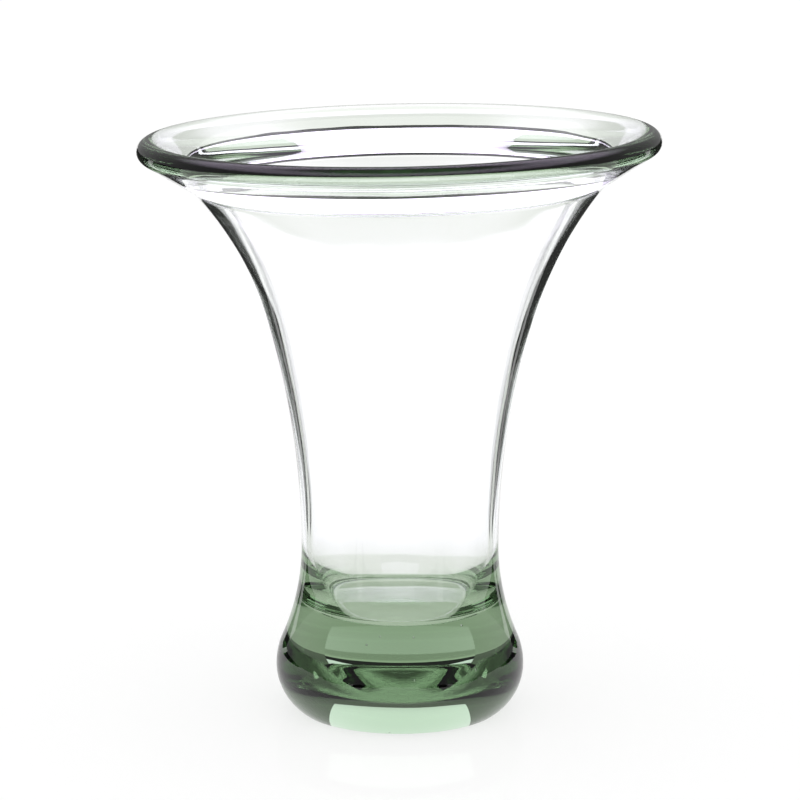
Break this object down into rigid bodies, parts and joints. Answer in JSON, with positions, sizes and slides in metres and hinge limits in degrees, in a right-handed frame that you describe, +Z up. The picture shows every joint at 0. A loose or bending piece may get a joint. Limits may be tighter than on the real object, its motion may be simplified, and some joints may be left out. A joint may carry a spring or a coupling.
{
  "type": "flower vase",
  "caption": "Vase of thick pale green glass: a heavy solid foot, a narrow waist, a trumpet flare and a turned-out rim with a round polished edge.",
  "frame": {"origin": "middle of the ring that the foot rests on, on the surface under the vase", "axes": "+Z up along the vase's axis; the vase is round, so +X and +Y are any two level directions"},
  "size_m": [0.1936, 0.1936, 0.2189],
  "materials": {
    "glass": "hand-blown pale green soda-lime glass, fire-polished, with a few small seeds"
  },
  "bodies": {
    "root": {"base": "glass", "bowl": "glass", "lip": "glass"}
  },
  "joints": []
}
